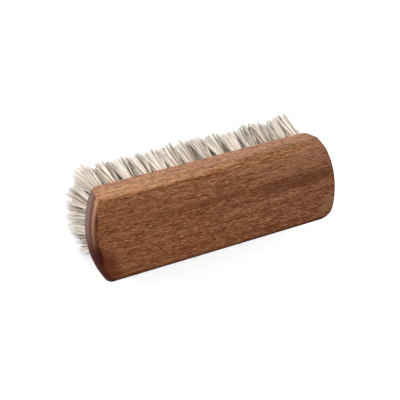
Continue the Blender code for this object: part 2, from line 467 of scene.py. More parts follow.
        # Painted light: the +Y slope and a share of the +Y wall are painted paler, most towards -X.
        fade = nodes.ranged(along, *self.slope_span, self.slope_share, 0.0)
        pale = nodes.total(0.0, (1.0, nodes.maths("MULTIPLY", slope, fade)), (self.wall_share, wall))
        mottle = nodes.total(0.0, (0.5, dashes), (0.5, streaks))
        lit_marks = nodes.ranged(mottle, *self.lit_mottle, self.lit_mottle_depth, 0.0)
        colour = nodes.blend(pale, colour, nodes.blend(lit_marks, self.painted_lit_wood, self.middle))
        frayed = nodes.noise(nodes.stretch(place, self.fray_scale), detail=3, rough=0.65)
        for patch in self.blotches:
            colour = nodes.blend(patch.share(nodes, place, frayed), colour, patch.colour)
        # The dark share lays on stain and painted shade; the pores get their own dark colour.
        for share, mask, stain in ((self.dark_share, dark, self.stain_and_shade),
                                   (self.pore_share, pores, self.pore)):
            colour = nodes.blend(nodes.maths("MULTIPLY", mask, share), colour, stain)
        relief = nodes.total(0.0, (self.fibre_relief, fine), (self.fibre_relief, threads), (-1.0, pores))
        bump = nodes.node("ShaderNodeBump",
                          {"Strength": self.bump, "Distance": self.pore_depth, "Height": relief})
        varnish = nodes.node("ShaderNodeAttribute", attribute_name="varnish").outputs["Fac"]
        surface = nodes.ranged(varnish, 0.0, self.sealed, self.matt, self.roughness)
        rough = nodes.total(0.0, (self.grain_roughness, nodes.maths("ADD", fine, pores)), (1.0, surface))
        shader = nodes.node("ShaderNodeBsdfPrincipled", {
            "Base Color": colour, "Roughness": rough, "Normal": bump.outputs[0], "Coat Weight": varnish,
            "Specular IOR Level": self.specular, "Coat Roughness": self.coat_roughness})
        nodes.node("ShaderNodeOutputMaterial", {"Surface": shader.outputs[0]})
        return material


class HairShade(Enum):
    """Natural shades of the horsehair: the share of the strands, then the colour."""

    DARK = (0.16, (0.085, 0.050, 0.032))
    GREY = (0.09, (0.330, 0.245, 0.180))
    BEIGE = (0.10, (0.690, 0.575, 0.465))
    IVORY = (0.24, (0.900, 0.805, 0.700))
    CREAM = (0.41, (0.975, 0.915, 0.835))


@dataclass(frozen=True)
class HorseHair:
    """Pale horsehair of mixed shades.

    The map called hair holds one column for each shade step, and V runs from the root to the tip.
    """

    # Darker towards the root: painted shade between the hairs, and dirt. Greyer at the tips: painted shade.
    root_shade_and_dirt: Colour = (0.67, 0.55, 0.41)
    root_share: float = 0.85
    root_end: float = 0.60          # V where the root's painted shade and dirt end
    tip_shade: Colour = (0.93, 0.965, 1.0)
    tip_start: float = 0.80         # V where the tips' painted shade begins
    dusty: Colour = (0.86, 0.80, 0.73)
    dusty_share: float = 0.4
    dusty_scale: Triple = (HAIR_COLUMNS, 6, 1)
    dusty_span: Span = (0.25, 0.75)
    rough_span: Span = (0.2, 0.8)   # of the same mottling
    roughness: Span = (0.44, 0.60)  # at either end of it
    specular: float = 0.15

    def material(self) -> bpy.types.Material:
        """Build the material.

        Returns:
            The material.
        """
        material, nodes = material_tree("horsehair")
        spot = nodes.node("ShaderNodeUVMap", uv_map=HAIR_MAP).outputs[0]
        column, along, _ = nodes.parts(spot)
        shares, colours = zip(*(shade.value for shade in HairShade))
        starts = np.cumsum((0.0, *shares[:-1])).tolist()
        colour = nodes.ramp(column, list(zip(starts, colours)), "CONSTANT")
        mottle = nodes.noise(nodes.stretch(spot, self.dusty_scale))
        # Dusty mottle, then painted shade and dirt towards the root, and painted shade at the tips.
        for share, tint in ((nodes.ranged(mottle, *self.dusty_span, 0.0, self.dusty_share), self.dusty),
                            (nodes.ranged(along, 0.0, self.root_end, self.root_share, 0.0), self.root_shade_and_dirt),
                            (nodes.ranged(along, self.tip_start, 1.0), self.tip_shade)):
            colour = nodes.blend(share, colour, tint, "MULTIPLY")
        shader = nodes.node("ShaderNodeBsdfPrincipled", {
            "Base Color": colour, "Roughness": nodes.ranged(mottle, *self.rough_span, *self.roughness),
            "Specular IOR Level": self.specular})
        nodes.node("ShaderNodeOutputMaterial", {"Surface": shader.outputs[0]})
        return material


@dataclass(frozen=True)
class PaleFloor:
    """White floor. The camera sees it glow a little, so that it renders white and keeps a soft shadow.

    It can be looked through from below.
    """

    colour: Colour = (0.74, 0.74, 0.74)
    glow: float = 0.58
    roughness: float = 0.9

    def material(self) -> bpy.types.Material:
        """Build the material.

        Returns:
            The material.
        """
        material, nodes = material_tree("pale_floor")
        rays = nodes.node("ShaderNodeLightPath").outputs
        mirrored = nodes.maths("MAXIMUM", rays["Is Glossy Ray"], rays["Is Transmission Ray"])
        seen = nodes.maths("MAXIMUM", rays["Is Camera Ray"], mirrored)
        shader = nodes.node("ShaderNodeBsdfPrincipled", {
            "Base Color": self.colour, "Roughness": self.roughness, "Specular IOR Level": 0.0,
            "Emission Color": WHITE, "Emission Strength": nodes.maths("MULTIPLY", seen, self.glow)})
        below = nodes.node("ShaderNodeNewGeometry").outputs["Backfacing"]
        clear = nodes.node("ShaderNodeBsdfTransparent")
        mix = nodes.node("ShaderNodeMixShader", {0: below, 1: shader.outputs[0], 2: clear.outputs[0]})
        nodes.node("ShaderNodeOutputMaterial", {"Surface": mix.outputs[0]})
        return material


@dataclass(frozen=True)
class PlanLevel:
    """One level of the block in plan. Its ends are bowed, its sides straight and its corners round."""

    z: float
    half_length: float
    half_widths: Span       # towards -Y and towards +Y
    end_radius: float
    corners: Corners        # radii at +X -Y, +X +Y, -X +Y and -X -Y
    least_corner: float = 0.0003

    def drawn_in(self, distance: float) -> "PlanLevel":
        """The same level with its outline drawn in all round.

        Args:
            distance: How far it is drawn in.

        Returns:
            The smaller level.
        """
        return PlanLevel(self.z, self.half_length - distance,
                         tuple(half - distance for half in self.half_widths), self.end_radius - distance,
                         tuple(max(radius - distance, self.least_corner) for radius in self.corners))

    def end_half(self, widths: Span, corners: Span, steps: tuple[int, int]) -> np.ndarray:
        """The outline round one end, in the place of the +X end, anticlockwise.

        A corner's arc touches the straight side and the end's arc. All arcs are points at even angles.

        Args:
            widths: Half widths at the start and at the finish.
            corners: Corner radii at the start and at the finish.
            steps: Steps along a corner and along the bow.

        Returns:
            Rows of x, y and the cosine and sine of the outward direction.
        """
        arc_x = self.half_length - self.end_radius
        corner_y = [half - radius for half, radius in zip(widths, corners)]
        corner_x = [arc_x + math.sqrt((self.end_radius - radius) ** 2 - y ** 2)
                    for radius, y in zip(corners, corner_y)]
        meet = [math.atan2(y, x - arc_x) for x, y in zip(corner_x, corner_y)]
        low = np.linspace(-math.pi / 2, -meet[0], steps[0], endpoint=False)
        bow = np.linspace(-meet[0], meet[1], steps[1], endpoint=False)
        high = np.linspace(meet[1], math.pi / 2, steps[0] + 1)
        part = np.repeat([0, 1, 2], [len(low), len(bow), len(high)])
        centre_x = np.array([corner_x[0], arc_x, corner_x[1]])[part]
        centre_y = np.array([-corner_y[0], 0.0, corner_y[1]])[part]
        radius = np.array([corners[0], self.end_radius, corners[1]])[part]
        outward = on_circle(np.concatenate([low, bow, high]))
        return np.column_stack([np.stack([centre_x, centre_y], -1) + radius[:, None] * outward, outward])

    def outline(self, steps: tuple[int, int, int]) -> np.ndarray:
        """The whole outline, anticlockwise: the +X end, the +Y side, the -X end and the -Y side.

        The -X end is an end half of its own, turned by half a turn. The sides are even steps of a
        straight line.

        Args:
            steps: Steps along a corner, along the bow and along a side.

        Returns:
            Rows of x, y, z and the cosine and sine of the outward direction.
        """
        right = self.end_half(self.half_widths, self.corners[:2], steps[:2])
        left = -self.end_half(self.half_widths[::-1], self.corners[2:], steps[:2])
        share = np.linspace(0, 1, steps[2] + 1)[1:-1, None]
        far = right[-1] + (left[0] - right[-1]) * share
        near = left[-1] + (right[0] - left[-1]) * share
        flat = np.concatenate([right, far, left, near])
        return np.column_stack([flat[:, :2], np.full(len(flat), self.z), flat[:, 2:]])


@dataclass(frozen=True)
class StainPlan:
    """Where light is painted pale, where stain and painted shade make it dark, and how thick its varnish
    is.

    Two tables go by Y at the -X end. The others go by the share up the profile: 0 at the foot, 1 at
    the break between the wall and the slope, 2 where the flat back starts and 2.2 inside it.
    """

    # How lit the -X end is taken to be, by Y: where it is low the varnish fades and painted shade is laid
    # on.
    lit_by_y: Table = ((-0.008, -0.005, -0.0026, 0.0022, 0.007, 0.013), (0, 0.07, 0.14, 0.36, 0.58, 1))
    # Where the painted shade along the back's edge at the -X end is full, by Y.
    line_by_y: Table = ((-0.0150, -0.0095, -0.006, -0.0026, 0.007, 0.012, 0.0150, 0.0165, 0.0185),
                        (0, 1, 1, 0.6, 0.65, 0.9, 1, 0.5, 0.1))
    # Painted light: where up the profile the lit +Y slope and wall are painted paler.
    lit_slope_paint: Table = ((0, 0.90, 1.05, 1.84, 1.93, 2.2), (0, 0, 1, 1, 0, 0))
    lit_wall_paint: Table = ((0, 0.90, 1.05, 2.2), (1, 1, 0, 0))
    left_stain: Table = ((0, 0.95, 1.1, 1.40, 1.60, 1.9), (0.9, 0.9, 0.7, 0.5, 0.15, 0))
    # Painted shade: a dark line along the back's edge at the -X end, and the lower -X end where it is taken
    # to be unlit.
    line_shade: Table = ((1.84, 1.93, 2.0, 2.1, 2.2), (0, 1, 1, 0.5, 0))
    unlit_shade: Table = ((0, 1.84, 1.91, 1.98), (1, 1, 0.5, 0))
    right_stain: Table = ((0, 0.8, 1.1, 1.7, 2.0, 2.2), (0.35, 0.35, 0.5, 0.6, 0.15, 0))
    # Painted shade on the -Y side, which faces away from the lamps.
    near_shade: Table = ((0, 0.8, 1.1, 1.7, 2.0, 2.2), (0.2, 0.2, 0.65, 0.8, 0.25, 0))
    foot_stain: Table = ((0, 0.01, 2.2), (0.35, 0, 0))
    under_stain: float = 0.6        # on the underside and in the holes
    back_varnish: float = 0.11
    back_start: float = 2.1         # share above which all the varnish is the back's
    end_varnish: Table = ((0, 0.95, 1.05, 1.40, 1.60, 1.88, 1.95, 2.2),
                          (0.50, 0.50, 0.08, 0.08, 0.74, 0.74, 0.02, 0))
    side_varnish: Table = ((0, 0.95, 1.05, 1.75, 1.88, 2.0, 2.2),
                           (0.40, 0.40, 0.30, 0.25, 0.03, 0.05, back_varnish))
    turn_start: float = 0.40        # part of the outward direction from which a side counts
    turn_span: float = 0.30         # and how much more of it until it counts in full

    def tones(self, rings: np.ndarray, shares: np.ndarray) -> tuple[np.ndarray, np.ndarray]:
        """Tones and varnish of every point of the block's side.

        Each is a table over the profile, times how far the outline there looks to +X, -X, +Y or -Y.
        The darkest of the stain and the painted shade counts.

        Args:
            rings: The rings with their outward directions.
            shares: How far up the profile each ring is.

        Returns:
            The shares of the pale slope and wall, which are painted light, and of the dark stain with
            painted shade of each point, and its varnish.
        """
        def up(table: Table) -> np.ndarray:
            """The table's value for each ring."""
            return np.interp(shares, *table)[:, None]

        outward = np.stack([rings[..., 3], -rings[..., 3], rings[..., 4], -rings[..., 4]])
        right, left, far, near = np.clip((outward - self.turn_start) / self.turn_span, 0, 1)
        lit, line = (np.interp(rings[..., 1], *table) for table in (self.lit_by_y, self.line_by_y))
        slope, wall = far * up(self.lit_slope_paint), far * up(self.lit_wall_paint)
        # The dark share: end grain, foot and underside stain, and painted shade at the -X edge, the unlit
        # -X end and the -Y side.
        dark = np.maximum.reduce([
            left * up(self.left_stain), left * line * up(self.line_shade),
            left * (1 - lit) * up(self.unlit_shade), right * up(self.right_stain),
            near * up(self.near_shade), np.broadcast_to(up(self.foot_stain), slope.shape)])
        sides = self.back_varnish * (1 - far) + up(self.side_varnish) * far
        varnish = (1 - right) * (1 - near) * (1 - left) * sides + left * lit * up(self.end_varnish)
        varnish = np.where(shares[:, None] > self.back_start, self.back_varnish, varnish)
        return np.stack([slope, wall, dark], -1).reshape(-1, 3), varnish.ravel()


@dataclass
class WoodBlock:
    """The wooden block: a solid board with blind tuft holes in its underside."""

    length: float = 0.160
    width: float = 0.058
    thickness: float = 0.0135
    underside: float = 0.024        # Z of the underside
    end_radius: float = 0.053       # plan radius of the bowed ends
    hole_bow: float = 0.055         # plan radius that the end tufts follow
    foot_corners: Corners = (0.0050, 0.0080, 0.0055, 0.0050)
    middle_corners: Corners = (0.0065, 0.0024, 0.0020, 0.0040)
    back_corners: Corners = (0.0098, 0.0085, 0.0012, 0.0035)
    wall_height: float = 0.0073
    wall_leans: Span = (0.0026, 0.0023)     # towards -Y and towards +Y
    slope_insets: Span = (0.0029, 0.0030)
    end_slope_inset: float = 0.0010
    back_rounding: float = 0.0012
    end_rounding: float = 0.0003    # more rounding of the back's edge at the ends
    worn_rounding: float = 0.0036   # and where its +Y side is worn soft, towards +X
    worn_start: float = -0.030      # X where the wear begins
    worn_reach: float = 0.070       # and over which it grows
    worn_slope: float = 0.8         # how far it reaches down the slope, as a share of its reach inwards
    middle_rounding: float = 0.0009
    foot_rounding: float = 0.0004
    support: float = 0.0005         # width of the flat ring beside a rounding
    hole_radius: float = 0.0021
    hole_chamfer: float = 0.0003
    hole_depth: float = 0.0090
    hole_tip: Span = (0.08, 0.5)    # radius and height of the blunt point, in hole radii
    hole_sides: int = 20
    outline_steps: tuple[int, int, int] = (12, 48, 30)
    rounding_steps: int = 6
    flank_steps: int = 5            # rings on the wall and on the slope
    sharp_angle: float = math.radians(40)
    plan: StainPlan = field(default_factory=StainPlan)
    finish: StainedWood = field(default_factory=StainedWood)

    def end_at(self, y: np.ndarray | float) -> np.ndarray | float:
        """How far the bow of the ends reaches at this Y, seen from the middle."""
        return self.length / 2 - self.hole_bow + np.sqrt(self.hole_bow ** 2 - y ** 2)

    def levels(self) -> tuple[PlanLevel, PlanLevel, PlanLevel]:
        """The sharp levels of the profile.

        Returns:
            The foot, the break between the wall and the slope, and the back.
        """
        half_length, half_width = self.length / 2, self.width / 2
        middle_width = tuple(half_width - lean for lean in self.wall_leans)
        back_width = tuple(width - inset for width, inset in zip(middle_width, self.slope_insets))
        return (PlanLevel(self.underside, half_length, (half_width, half_width), self.end_radius,
                          self.foot_corners),
                PlanLevel(self.underside + self.wall_height, half_length, middle_width, self.end_radius,
                          self.middle_corners),
                PlanLevel(self.underside + self.thickness, half_length - self.end_slope_inset, back_width,
                          self.end_radius - self.end_slope_inset, self.back_corners))

    def rounded(self, before: np.ndarray, edge: np.ndarray, after: np.ndarray) -> np.ndarray:
        """Rounded edge: a quadratic curve from before to after that is drawn towards the sharp edge.

        The curve at t is (1 - t)^2 before + 2 t (1 - t) edge + t^2 after.

        Args:
            before: Ring where the rounding starts.
            edge: Ring of the sharp edge.
            after: Ring where it ends.

        Returns:
            The rings of the rounding, one after another.
        """
        t = np.linspace(0, 1, self.rounding_steps + 1)[:, None, None]
        return (1 - t) ** 2 * before + 2 * t * (1 - t) * edge + t ** 2 * after

    def shell_rings(self) -> tuple[np.ndarray, np.ndarray]:
        """The block's side as a profile carried round its outline, from the underside to the back.

        The worn part of the back's edge is drawn in further: by a smooth step along X, times a power of
        how far the outline looks to +Y.

        Returns:
            The rings of points with their outward directions, and for each ring how far up the profile
            it is: 0 at the foot, 1 at the break between the wall and the slope, 2 where the flat back
            starts, and the last share for the ring inside it.
        """
        levels = self.levels()
        foot, middle, top = (level.outline(self.outline_steps) for level in levels)
        under, under_support, flat, flat_support = (
            level.drawn_in(rounding + support).outline(self.outline_steps)
            for level, rounding in ((levels[0], self.foot_rounding), (levels[2], self.back_rounding))
            for support in (0.0, self.support))
        wear = np.clip((top[:, :1] - self.worn_start) / self.worn_reach, 0, 1)
        wear = wear * np.clip(top[:, 4:], 0, 1) ** 2
        wear = self.worn_rounding * wear ** 2 * (3 - 2 * wear)
        softer = self.end_rounding * np.abs(top[:, 3:4]) ** 2 + wear
        inwards = -softer * np.column_stack([top[:, 3:], np.zeros((len(top), 3))])
        flat, flat_support = flat + inwards, flat_support + inwards
        slope_height = self.thickness - self.wall_height
        wall_share = self.middle_rounding / self.wall_height
        slope_share = self.middle_rounding / slope_height
        foot_share = self.foot_rounding / self.wall_height
        back_share = self.back_rounding / slope_height
        wall_start = foot + (middle - foot) * foot_share
        wall_end = middle + (foot - middle) * wall_share
        slope_start = middle + (top - middle) * slope_share
        slope_end = top + (middle - top) * (back_share + self.worn_slope * wear / slope_height)
        steps = np.linspace(0, 1, self.rounding_steps + 1)
        between = np.linspace(0, 1, self.flank_steps + 2)[1:-1]
        along = between[:, None, None]
        parts = [
            (under_support[None], np.array([0.0])),
            (self.rounded(under, foot, wall_start), steps * foot_share),
            (wall_start + (wall_end - wall_start) * along,
             foot_share + (1 - wall_share - foot_share) * between),
            (self.rounded(wall_end, middle, slope_start),
             1 - wall_share + steps * (wall_share + slope_share)),
            (slope_start + (slope_end - slope_start) * along,
             1 + slope_share + (1 - slope_share - back_share) * between),
            (self.rounded(slope_end, top, flat), 2 - back_share * (1 - steps)),
            (flat_support[None], np.array([2.2]))]
        return np.concatenate([part for part, _ in parts]), np.concatenate([share for _, share in parts])

    def back_cap(self, first: int, around: int) -> np.ndarray:
        """Quads across the flat back, each from a step of the outline to the same step on its far side.

        Args:
            first: Number of the ring's first point.
            around: Points in the ring.

        Returns:
            Vertex numbers, four to a row.
        """
        end = 2 * self.outline_steps[0] + self.outline_steps[1] + 1
        side = self.outline_steps[2] - 1
        step = np.arange(end // 2)
        right = np.stack([step, step + 1, end - 2 - step, end - 1 - step], -1)
        right = right[right[:, 1] < right[:, 2]]
        far = np.arange(end - 1, end + side + 1)
        near = np.concatenate([[0], np.arange(around - 1, around - side - 1, -1), [around - side - 1]])
        across = np.stack([near[:-1], far[:-1], far[1:], near[1:]], -1)
        return first + np.concatenate([right, right + end + side, across])

    def hole_rings(self, centres: np.ndarray) -> np.ndarray:
        """Blind holes: a circle swept from a wide mouth up a narrow wall and in to a blunt point.

        Args:
            centres: Hole centres, rows of x and y.

        Returns:
            Points by hole, ring and side.
        """
        radius, (tip_radius, tip_height) = self.hole_radius, self.hole_tip
        radii = np.array([radius + self.hole_chamfer, radius, radius, radius * tip_radius])
        heights = self.underside + np.array([0.0, self.hole_chamfer, self.hole_depth,
                                             self.hole_depth + radius * tip_height])
        circle = on_circle(np.linspace(0, math.tau, self.hole_sides, endpoint=False))
        plan = centres[:, None, None, :] + radii[None, :, None, None] * circle[None, None, :, :]
        height = np.broadcast_to(heights[None, :, None, None], plan.shape[:3] + (1,))
        return np.concatenate([plan, height], -1)

    def hole_faces(self, shape: tuple[int, ...], first: int) -> tuple[np.ndarray, np.ndarray]:
        """Faces of the holes' walls and of their closed tops.

        Args:
            shape: How many holes, rings in a hole and sides in a ring there are.
            first: Number of the first hole's first point.

        Returns:
            Quads and triangles.
        """
        holes, rings, sides = shape[:3]
        fan = np.stack([np.zeros(sides - 2, int), np.arange(1, sides - 1), np.arange(2, sides)], -1)
        top = (rings - 1) * sides + fan
        quads, triangles = (repeated(faces, holes, rings * sides, first)
                            for faces in (bridge(rings, sides), top))
        return quads, triangles

    def close_underside(self, obj: bpy.types.Object) -> None:
        """Fill the flat underside between its outline and the mouths of the holes.

        Args:
            obj: The block with everything else in place.
        """
        bm = bmesh.new()
        bm.from_mesh(obj.data)
        open_edges = [edge for edge in bm.edges if len(edge.link_faces) == 1]
        bmesh.ops.triangle_fill(bm, use_beauty=True, use_dissolve=False, edges=open_edges,
                                normal=(0, 0, -1))
        bmesh.ops.recalc_face_normals(bm, faces=bm.faces[:])
        bm.to_mesh(obj.data)
        bm.free()

    def paint(self, obj: bpy.types.Object, rings: np.ndarray, shares: np.ndarray) -> None:
        """Store the tones and the varnish that the finish reads.

        Args:
            obj: The block, whose first vertices are the rings.
            rings: The rings with their outward directions.
            shares: How far up the profile each ring is.
        """
        tones, varnish = self.plan.tones(rings, shares)
        rest = len(obj.data.vertices) - len(varnish)
        tones = np.concatenate([tones, np.tile([0.0, 0.0, self.plan.under_stain], (rest, 1))])
        varnish = np.concatenate([varnish, np.zeros(rest)])
        for name, kind, key, values in (("tones", "FLOAT_VECTOR", "vector", tones),
                                        ("varnish", "FLOAT", "value", varnish)):
            layer = obj.data.attributes.new(name, kind, "POINT")
            layer.data.foreach_set(key, values.astype(np.float32).ravel())

    def build(self, centres: np.ndarray) -> bpy.types.Object:
        """Build and dress the block.

        Args:
            centres: Centres of the tuft holes, rows of x and y.

        Returns:
            The finished piece.
        """
        rings, shares = self.shell_rings()
        count, around = rings.shape[:2]
        holes = self.hole_rings(centres)
        hole_quads, hole_triangles = self.hole_faces(holes.shape, count * around)
        cap = self.back_cap((count - 1) * around, around)
        quads = np.concatenate([bridge(count, around), cap, hole_quads])
        points = np.concatenate([rings[..., :3].reshape(-1, 3), holes.reshape(-1, 3)])
        obj = mesh_object("wood_block_body", points, quads, hole_triangles)
        self.close_underside(obj)
        obj.data.set_sharp_from_angle(angle=self.sharp_angle)
        self.paint(obj, rings, shares)
        obj.data.materials.append(self.finish.material())
        return put_on_body(obj, ["wood_block"])


@dataclass
class TuftRows:
    """The hair: staggered tufts, each a fan of strands in small locks, in one piece for each cross row."""

    pitch: float = 0.010            # along one lengthwise row
    row_spacing: float = 0.0077     # between lengthwise rows
    side_margin: float = 0.0055
    end_margin: float = 0.0070
    side_splay: float = math.radians(21.3)
    side_power: float = 1.2
    end_power: float = 4.0
    end_overhang: float = -0.0030   # how far the tips' centre at the ends lies beyond the block
    left_leans: tuple[float, ...] = (-0.6, -0.9, 0.72, 1.0, 1.2, 1.1, 0.65)     # along X, by row, at -X
    right_leans: tuple[float, ...] = (1.0, 1.0, 1.0, 1.0, 1.0, 0.7, -0.15)      # and at +X
    far_lean: Table = ((0.010, 0.035, 0.056, 0.066), (0.0, 0.16, 0.16, 0.04))   # more of it at +Y, by X
    near_splay: Table = (           # in the last -Y row, by X
        (-0.065, -0.050, 0.040, 0.060), (0.3, 1.0, 1.0, 0.65))
    root_radius: float = 0.0019     # of the bundle at the hole's mouth
    fan_radius: float = 0.0064      # of the bundle at its tips
    rim_stretch: Span = (1.06, 1.25)    # how much wider the fans of the rim are along it
    root_height: float = 0.0010     # how far up the hole the hairs begin
    locks: int = 54
    lock_scatter: float = 0.06      # of the locks' places in the bundle
    strands: int = 300              # in a tuft
    strand_hairs: int = 2           # in a strand
    root_gather: float = 1.25       # how far the roots of a lock spread
    gather: Span = (0.70, 2.1)      # how far its tips spread, in the tightest and the loosest lock
    stray_gather: float = 3.2
    strays: float = 0.05
    pair_spread: float = 1.6        # how much further the hairs of a strand are apart at the tips
    lock_trim: float = 0.060        # how much shorter the shortest locks are
    strand_trim: float = 0.050
    hair_trim: float = 0.006
    lock_shades: float = 0.25       # share of the strands that have their lock's shade
    thickness: float = 0.00012      # radius of a pale hair
    thickness_range: Span = (0.75, 1.2)
    dark_fineness: float = 0.85     # thickness of a dark hair, as a share of a pale one's
    taper: float = 0.5              # how much of the thickness is lost at the tip
    taper_power: float = 1.5
    stations: int = 5
    curve: float = 1.20             # how late the hairs turn outwards
    waver: float = 0.00025
    column_margin: float = 0.1      # free part of a map column on either side
    end_v: float = 0.01             # how much of V the triangle that closes an end takes
    seed: int = 7
    finish: HorseHair = field(default_factory=HorseHair)

    def centres(self, block: WoodBlock) -> list[tuple[float, np.ndarray]]:
        """Tuft centres of every cross row, left to right, with alternate rows staggered.

        Args:
            block: The block that holds them.

        Returns:
            X of each cross row with the Y of its tufts.
        """
        side_steps = int((block.width / 2 - self.side_margin) / self.row_spacing)
        end_steps = int((block.length / 2 - self.end_margin) / (self.pitch / 2))
        side = np.arange(-side_steps, side_steps + 1)
        rows = []
        for step in range(-end_steps, end_steps + 1):
            x = step * self.pitch / 2
            y = side[(side + step) % 2 == 0] * self.row_spacing
            y = y[abs(x) <= block.end_at(y) - self.end_margin]
            if len(y):
                rows.append((x, y))
        return rows

    def outermost(self, block: WoodBlock, y: float) -> float:
        """X of the last tuft of a lengthwise row.

        Args:
            block: The block that holds it.
            y: Y of the row.

        Returns:
            The X at the +X end.
        """
        step = round(y / self.row_spacing) % 2
        half = self.pitch / 2
        return (int(((block.end_at(y) - self.end_margin) / half - step) / 2) * 2 + step) * half

    def slants(self, block: WoodBlock, x: float, y: float, reach: float) -> np.ndarray:
        """Outward slopes of a tuft, which grow with a power of its place.

        Along X the tips of the last tufts end at one distance from the block's end, times a lean that
        goes by the row. Along Y the slope is the tangent of the splay. The tufts at the corner of -X and
        -Y are worn and lean in instead, and those at the corner of +X and +Y stand steeper. Before that
        corner the +Y side leans towards +X, which grows with the square of Y.

        Args:
            block: The block that holds them.
            x: X of the tuft.
            y: Y of the tuft.
            reach: Y of the outermost tufts.

        Returns:
            The slopes along X and Y.
        """
        last = len(self.left_leans) // 2
        rows = np.arange(-last, last + 1) * self.row_spacing
        outer = self.outermost(block, y)
        fringe = block.end_at(y) + self.end_overhang - outer
        along = math.copysign(fringe / block.underside * (abs(x) / outer) ** self.end_power, x)
        along *= np.interp(y, rows, self.left_leans if x < 0 else self.right_leans)
        along += np.interp(x, *self.far_lean) * (max(y, 0.0) / reach) ** 2
        across = math.copysign(math.tan(self.side_splay) * (abs(y) / reach) ** self.side_power, y)
        if y < rows[1]:
            across *= np.interp(x, *self.near_splay)
        return np.array([along, across])

    def tuft(self, rng: np.random.Generator, centre: np.ndarray, slant: np.ndarray, stretch: np.ndarray,
             height: float) -> tuple[np.ndarray, np.ndarray]:
        """Centre lines of one tuft's hairs, and their shades.

        The locks stand on a sunflower spiral inside a unit disc. A strand has its lock's place there plus
        some scatter, times the root's radius at the mouth and the fan's radius at the tips, and its hairs
        lie close round it. Between the two ends a hair's place goes with a power of the depth, plus a
        half wave.

        Args:
            rng: Source of the random draws.
            centre: X and Y of the tuft.
            slant: Outward slopes of the tuft along X and Y.
            stretch: How much wider the fan is along X and Y.
            height: Z of the underside.

        Returns:
            Points by hair and station, and a shade from 0 to 1 for each hair.
        """
        number = np.arange(self.locks)
        spiral = number * math.pi * (3 - math.sqrt(5)) + rng.uniform(0, math.tau)
        lock = on_circle(spiral, np.sqrt((number + 0.5) / self.locks))
        lock += rng.normal(0, self.lock_scatter, lock.shape)
        owner = rng.integers(0, self.locks, self.strands)
        angle = rng.uniform(0, math.tau, self.strands)
        scatter = on_circle(angle, np.sqrt(rng.uniform(0, 1, self.strands)) / math.sqrt(self.locks))
        root = lock[owner] + self.root_gather * scatter
        root /= np.maximum(np.linalg.norm(root, axis=1), 1.0)[:, None]
        stray = rng.uniform(0, 1, self.strands) < self.strays
        loose = rng.uniform(*self.gather, self.locks)[owner]
        tip = lock[owner] + np.where(stray, self.stray_gather, loose)[:, None] * scatter
        reach = 1 - rng.uniform(0, self.lock_trim, self.locks)[owner]
        reach = reach - np.abs(rng.normal(0, self.strand_trim, self.strands))
        as_lock = rng.uniform(0, 1, self.strands) < self.lock_shades
        shade = np.where(as_lock, rng.uniform(0, 1, self.locks)[owner], rng.uniform(0, 1, self.strands))
        bow = rng.normal(0, self.waver, (self.locks, 2))[owner]
        bow = bow + rng.normal(0, self.waver, (self.strands, 2))
        strand = np.repeat(np.arange(self.strands), self.strand_hairs)
        apart = rng.normal(0, self.thickness, (len(strand), 2))
        root = root[strand] * self.root_radius + apart
        tip = tip[strand] * self.fan_radius * stretch + slant * height + self.pair_spread * apart
        reach = reach[strand] - np.abs(rng.normal(0, self.hair_trim, len(strand)))
        share = np.linspace(0, 1, self.stations)[None, :] * reach[:, None]
        plan = root[:, None] + (tip - root)[:, None] * (share ** self.curve)[..., None]
        plan = plan + bow[strand][:, None] * np.sin(math.pi * share)[..., None]
        top = height + self.root_height
        z = np.maximum(top - top * share, self.thickness)
        return np.concatenate([centre + plan, z[..., None]], -1), shade[strand]

    def tubes(self, rng: np.random.Generator, lines: np.ndarray,
              shades: np.ndarray) -> tuple[np.ndarray, np.ndarray, np.ndarray]:
        """Tapered tubes of three sides round the centre lines, closed at both ends.

        A point is the centre line's point plus the hair's radius, which falls by half to the tip, times a
        direction across the hair. Dark hairs are finer.

        Args:
            rng: Source of the random draws.
            lines: Points by hair and station.
            shades: A shade from 0 to 1 for each hair.

        Returns:
            Points, quads and triangles.
        """
        hairs, stations, _ = lines.shape
        chord = lines[:, -1] - lines[:, 0]
        chord /= np.linalg.norm(chord, axis=1)[:, None]
        first = np.cross(chord, (1.0, 0.0, 0.0))
        first /= np.linalg.norm(first, axis=1)[:, None]
        second = np.cross(chord, first)
        angle = rng.uniform(0, math.tau, hairs)[:, None]
        angle = angle + np.arange(HAIR_SIDES)[None] * math.tau / HAIR_SIDES
        across = np.cos(angle)[..., None] * first[:, None] + np.sin(angle)[..., None] * second[:, None]
        fineness = np.where(shades < HairShade.DARK.value[0], self.dark_fineness, 1)
        radius = self.thickness * rng.uniform(*self.thickness_range, hairs) * fineness
        taper = 1 - self.taper * np.linspace(0, 1, stations) ** self.taper_power
        points = lines[:, :, None] + (radius[:, None] * taper[None])[..., None, None] * across[:, None]
        last = (stations - 1) * HAIR_SIDES
        ends = np.array([[2, 1, 0], [last, last + 1, last + 2]])
        quads, triangles = (repeated(faces, hairs, stations * HAIR_SIDES)
                            for faces in (bridge(stations, HAIR_SIDES), ends))
        return points.reshape(-1, 3), quads, triangles

